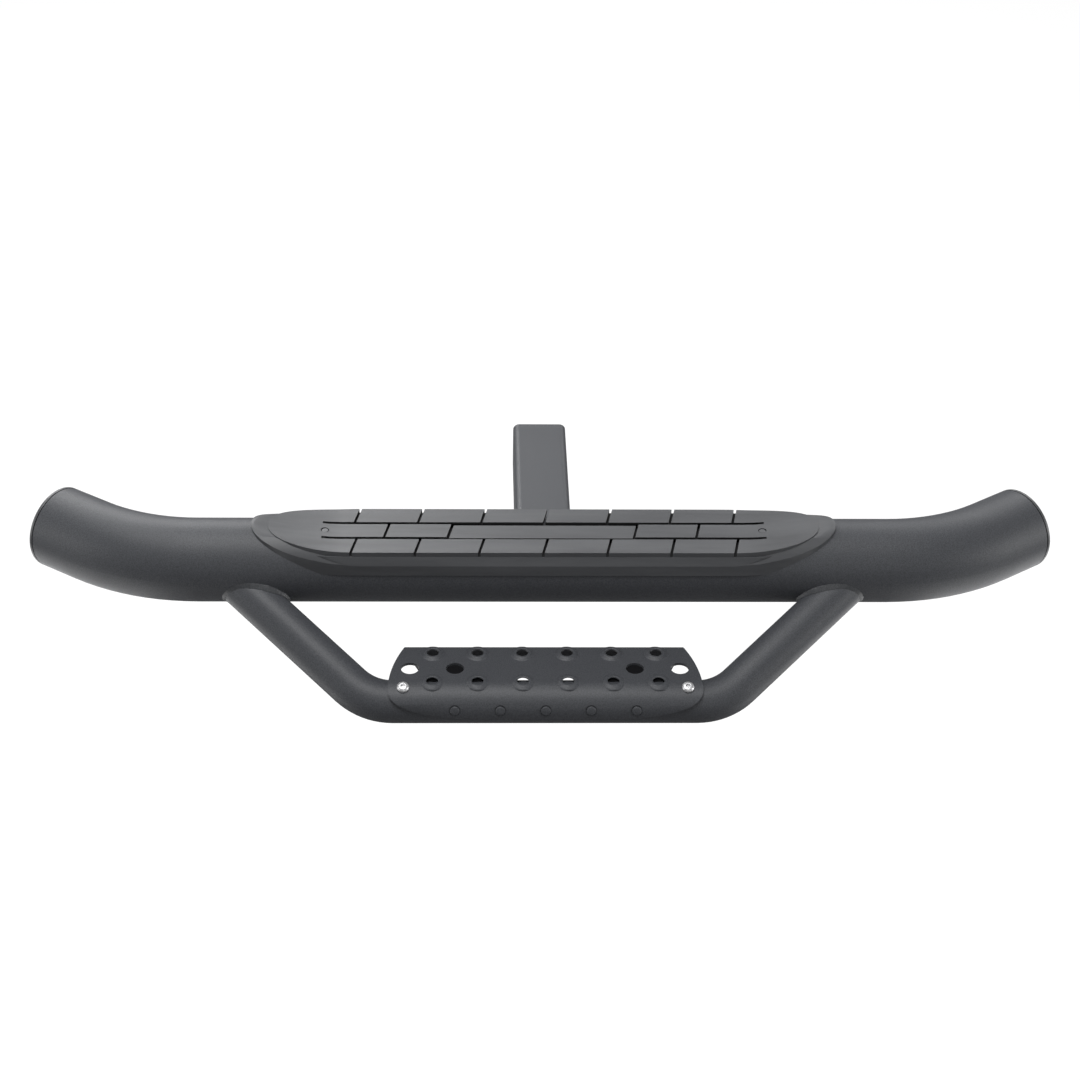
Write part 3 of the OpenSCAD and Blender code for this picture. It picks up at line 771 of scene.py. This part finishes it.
def sweepBead(name, path, leg):  # path of (corner, one surface's normal, the other's normal)
    section = [
        (0.0, -0.15), (1.0, 0.0), (0.86, 0.2), (0.62, 0.43),
        (0.43, 0.62), (0.2, 0.86), (0.0, 1.0), (-0.15, 0.0)]
    verts, faces = [], []
    length = 0
    for i, (corner, n1, n2) in enumerate(path):
        if i:
            length += (corner - path[i - 1][0]).length / mm
        phase = (length / welds["ripple"]) % 1
        swell = 1 + welds["rippleHeight"] * (8 * phase * (1 - phase) - 1)
        swell += 0.04 * math.sin(length * 0.37) + 0.03 * math.sin(length * 0.83)
        e1 = (n1 - n1.dot(n2) * n2).normalized()
        e2 = (n2 - n2.dot(n1) * n1).normalized()
        opening = math.sqrt(max(0.25, 1 + e1.dot(e2)))
        size = leg * mm * swell * (0.9 - 0.9 * max(0, 1 - opening))  # a flat corner holds a smaller bead
        for a, b in section:
            verts.append(corner + e1 * a * size + e2 * b * size)
    n, m = len(path), len(section)
    for i in range(n):
        here, there = i * m, (i + 1) % n * m
        for j in range(m):
            k = (j + 1) % m
            faces.append((here + j, here + k, there + k, there + j))
    mesh = bpy.data.meshes.new(name)
    mesh.from_pydata(verts, [], faces)
    piece = bpy.data.objects.new(name, mesh)
    bpy.context.scene.collection.objects.link(piece)
    outward(piece)
    shadeBelow(piece, 70)
    wear(piece, weldCoat)
    return piece


def makeLegWelds():
    w = welds
    footX = w["mainHalf"] - w["footInset"]
    out, up = footX - w["dropHalf"], w["dropReach"] - w["dropBendR"]
    legLength = math.sqrt(out ** 2 + up ** 2 - w["dropBendR"] ** 2)
    slope = math.atan2(up, out) + math.atan2(w["dropBendR"], legLength)
    lean = math.radians(90 - w["tilt"])
    down = Vector((0, -math.cos(lean), -math.sin(lean))) * math.sin(slope)
    for side, word in sides:
        along = Vector((-side * math.cos(slope), down.y, down.z))
        u = along.cross(Vector((0, 0, 1))).normalized()
        v = along.cross(u).normalized()
        foot = Vector((side * footX * mm, 0, 0))
        path = []
        for i in range(w["legSteps"]):
            t = 2 * math.pi * i / w["legSteps"]
            n1 = u * math.cos(t) + v * math.sin(t)
            base = foot + n1 * dropR
            # where this line of the leg meets the tube
            a = along.y ** 2 + along.z ** 2
            b = 2 * (base.y * along.y + base.z * along.z)
            c = base.y ** 2 + base.z ** 2 - tubeR ** 2
            corner = base + along * (-b + math.sqrt(b * b - 4 * a * c)) / (2 * a)
            n2 = Vector((0, corner.y, corner.z)).normalized()
            path.append((corner + Vector((0, tubeY, 0)), n1, n2))
        finishPiece(sweepBead(word + "LegWeld", path, w["leg"]), "coated_weld", word + "_leg_weld")


makeLegWelds()


def makeShankWeld():
    w = welds
    r = w["shankCorner"] * mm
    reach = w["shankHalf"] * mm - r
    centres = [(reach, reach), (-reach, reach), (-reach, -reach), (reach, -reach)]
    outline = []  # of (x, z, the direction outwards)
    for quarter in range(4):
        cx, cz = centres[quarter]
        for i in range(w["cornerSteps"] + 1):
            a = math.pi / 2 * (quarter + i / w["cornerSteps"])
            outline.append((cx + r * math.cos(a), cz + r * math.sin(a), a))
        nextX, nextZ = centres[(quarter + 1) % 4]
        a = math.pi / 2 * (quarter + 1)
        for i in range(1, w["flatSteps"]):
            f = i / w["flatSteps"]
            x = cx + (nextX - cx) * f + r * math.cos(a)
            z = cz + (nextZ - cz) * f + r * math.sin(a)
            outline.append((x, z, a))
    path = []
    for x, z, a in outline:
        y = math.sqrt(tubeR ** 2 - z ** 2)
        n1 = Vector((math.cos(a), 0, math.sin(a)))
        path.append((Vector((x, y + tubeY, z)), n1, Vector((0, y, z)).normalized()))
    finishPiece(sweepBead("shankWeld", path, w["shankLeg"]), "coated_weld", "shank_weld")


makeShankWeld()


# studio

studio = {
    "tilt": 34.0, "yaw": 1.97, "roll": 1.2, "distance": 2062.8, "shiftX": 3.26, "shiftY": -18.2,
    "focal": 2265, "frameSize": 1080, "sensor": 36,
    "floorZ": -0.42, "floorSize": 16, "floorBounce": 0.2, "floorSeen": 0.12, "floorGlow": 0.94,
    "worldGlow": 0.17,
}
lamps = {  # place, aim, width, depth and power
    "overhead": ((-0.3, -0.4, 1.7), (0, -0.15, 0), 1.6, 0.8, 24),
    "backLeft": ((-0.9, 1.7, 1.25), (-0.1, -0.1, 0), 1.6, 1.0, 30.5),
    "backRight": ((1.15, 1.6, 1.2), (0.2, -0.1, 0), 1.2, 0.9, 13.5),
    "leftSide": ((-2.2, -0.5, 0.35), (-0.3, -0.1, 0), 1.2, 1.2, 11),
    "rightSide": ((2.2, -0.6, 0.2), (0.3, -0.1, 0), 1.2, 0.9, 16),
    "front": ((0.4, -2.6, 1.0), (0, -0.1, 0), 1.4, 0.8, 5),
    "lowLeft": ((-0.72, 0.15, -0.41), (-0.72, 0.15, 1), 0.5, 1.3, 3.7),
    "lowRight": ((0.72, 0.15, -0.41), (0.72, 0.15, 1), 0.5, 1.3, 3.8),
}


def makeCamera():
    s = studio
    el, yaw, roll = (math.radians(s[k]) for k in ("tilt", "yaw", "roll"))
    forward = Vector((math.sin(yaw) * math.cos(el), math.cos(yaw) * math.cos(el), -math.sin(el)))
    level = Vector((math.cos(yaw), -math.sin(yaw), 0))
    upright = level.cross(forward)
    right = math.cos(roll) * level + math.sin(roll) * upright
    up = -math.sin(roll) * level + math.cos(roll) * upright
    spot = -s["shiftX"] * right - s["shiftY"] * up - s["distance"] * forward
    camera = bpy.data.cameras.new("camera")
    camera.lens = s["focal"] / s["frameSize"] * s["sensor"]
    camera.sensor_width = s["sensor"]
    holder = bpy.data.objects.new("camera", camera)
    bpy.context.scene.collection.objects.link(holder)
    turn = Matrix((right, up, -forward)).transposed().to_4x4()
    holder.matrix_world = Matrix.Translation(spot * mm + Vector((0, tubeY, 0))) @ turn
    bpy.context.scene.camera = holder


def softbox(name, spot, aim, width, depth, power):
    lamp = bpy.data.lights.new(name, "AREA")
    lamp.shape = "RECTANGLE"
    lamp.size = width
    lamp.size_y = depth
    lamp.energy = power
    holder = bpy.data.objects.new(name, lamp)
    bpy.context.scene.collection.objects.link(holder)
    holder.visible_camera = False
    spot = Vector(spot)
    turn = (Vector(aim) - spot).to_track_quat("-Z", "Y").to_matrix().to_4x4()
    holder.matrix_world = Matrix.Translation(spot) @ turn


def makeWorld():  # white to the camera, a soft glow to the object
    world = bpy.data.worlds.new("studio")
    bpy.context.scene.world = world
    world.use_nodes = True
    tree, links = world.node_tree.nodes, world.node_tree.links
    tree.clear()
    out = tree.new("ShaderNodeOutputWorld")
    path = tree.new("ShaderNodeLightPath")
    mix = tree.new("ShaderNodeMixShader")
    links.new(path.outputs["Is Camera Ray"], mix.inputs["Fac"])
    for socket, strength in ((1, studio["worldGlow"]), (2, 1)):
        glow = tree.new("ShaderNodeBackground")
        glow.inputs["Color"].default_value = (1, 1, 1, 1)
        glow.inputs["Strength"].default_value = strength
        links.new(glow.outputs["Background"], mix.inputs[socket])
    links.new(mix.outputs["Shader"], out.inputs["Surface"])


def makeFloor():  # near white to the camera, with the object's shadow on it, and grey to the object
    deselect()
    bpy.ops.mesh.primitive_plane_add(size=studio["floorSize"])
    floor = bpy.context.object
    floor.name = "floor"
    place(floor, Matrix.Translation((0, 0, studio["floorZ"])))
    material, tree, links = newMaterial("white floor")
    out = tree["Material Output"]
    matt = tree.new("ShaderNodeBsdfDiffuse")
    matt.inputs["Color"].default_value = (*[studio["floorBounce"]] * 3, 1)
    pale = tree.new("ShaderNodeBsdfDiffuse")
    pale.inputs["Color"].default_value = (*[studio["floorSeen"]] * 3, 1)
    glow = tree.new("ShaderNodeEmission")
    glow.inputs["Color"].default_value = (1, 1, 1, 1)
    glow.inputs["Strength"].default_value = studio["floorGlow"]
    both = tree.new("ShaderNodeAddShader")
    mix = tree.new("ShaderNodeMixShader")
    path = tree.new("ShaderNodeLightPath")
    links.new(pale.outputs["BSDF"], both.inputs[0])
    links.new(glow.outputs["Emission"], both.inputs[1])
    links.new(path.outputs["Is Camera Ray"], mix.inputs["Fac"])
    links.new(matt.outputs["BSDF"], mix.inputs[1])
    links.new(both.outputs["Shader"], mix.inputs[2])
    links.new(mix.outputs["Shader"], out.inputs["Surface"])
    wear(floor, material)


makeCamera()
for name, lamp in lamps.items():
    softbox(name, *lamp)
makeWorld()
makeFloor()
bpy.context.scene.view_settings.view_transform = "Standard"
print("studio ready")

deselect()
